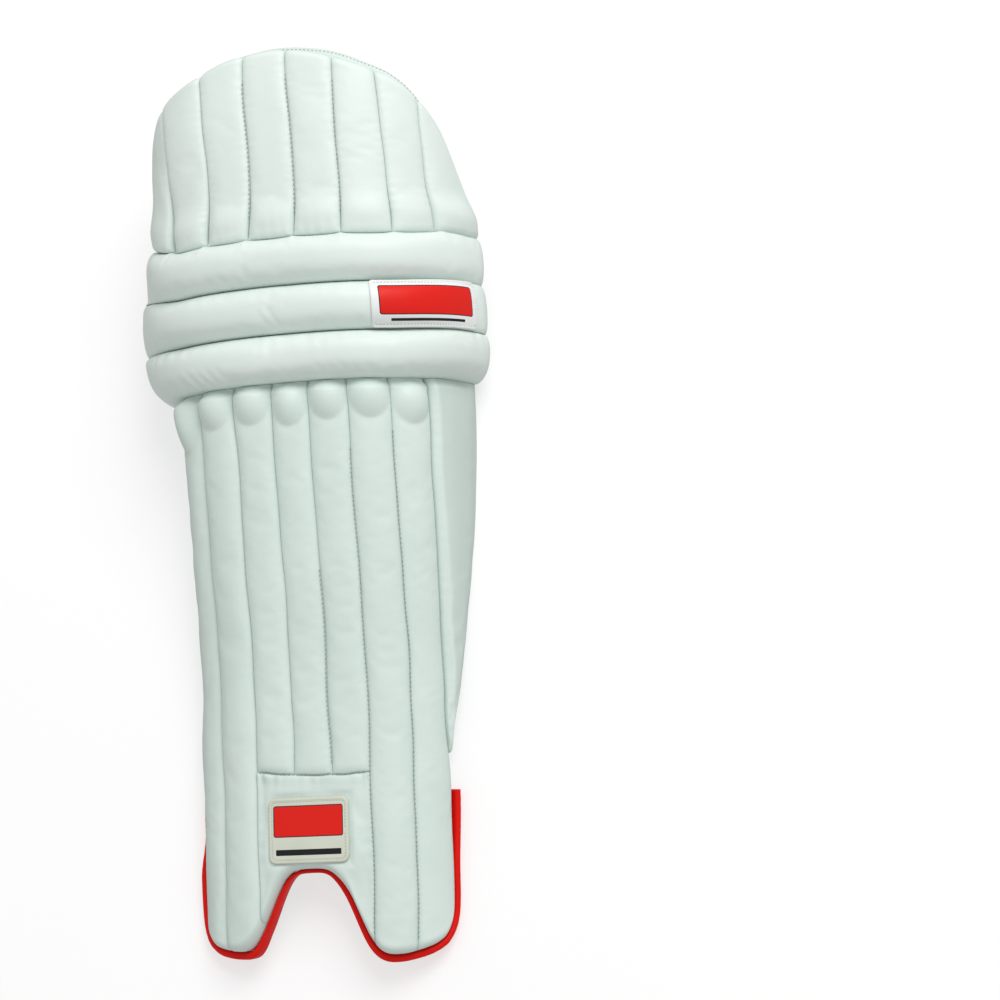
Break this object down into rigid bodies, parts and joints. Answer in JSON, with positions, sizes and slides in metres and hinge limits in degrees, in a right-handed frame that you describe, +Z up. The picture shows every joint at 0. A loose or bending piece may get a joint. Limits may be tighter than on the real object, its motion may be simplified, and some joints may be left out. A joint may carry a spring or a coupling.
{
  "type": "batting pad",
  "caption": "Padded batting pad with sewn shin canes, thick knee rolls, a rounded thigh piece, side wings and a bound foot arch, lying face up.",
  "frame": {"origin": "on the floor under the middle of the pad's box, where it lies on its hollow side", "axes": "+Y along the pad towards the thigh end, +Z up out of the pad's face, +X to the right of someone facing the pad with the foot end down"},
  "size_m": [0.2816, 0.6888, 0.1492],
  "materials": {
    "white_leather": "soft satin",
    "lining": "matt woven",
    "red_binding": "satin gloss",
    "cream_patch": "satin",
    "white_patch": "satin",
    "black_webbing": "matt woven"
  },
  "bodies": {
    "root": {"backing": "lining", "shin_cane_1": "white_leather", "shin_cane_2": "white_leather", "shin_cane_3": "white_leather", "shin_cane_4": "white_leather", "shin_cane_5": "white_leather", "shin_cane_6": "white_leather", "shin_cane_7": "white_leather", "instep_panel": "white_leather", "wing_left": "white_leather", "wing_right": "white_leather", "knee_roll_lower": "white_leather", "knee_roll_middle": "white_leather", "knee_roll_upper": "white_leather", "top_roll_1": "white_leather", "top_roll_2": "white_leather", "top_roll_3": "white_leather", "top_roll_4": "white_leather", "top_roll_5": "white_leather", "top_roll_6": "white_leather", "top_roll_7": "white_leather", "top_roll_8": "white_leather", "foot_binding": "red_binding", "instep_label": "cream_patch", "knee_label": "white_patch", "calf_strap": "black_webbing"}
  },
  "joints": []
}
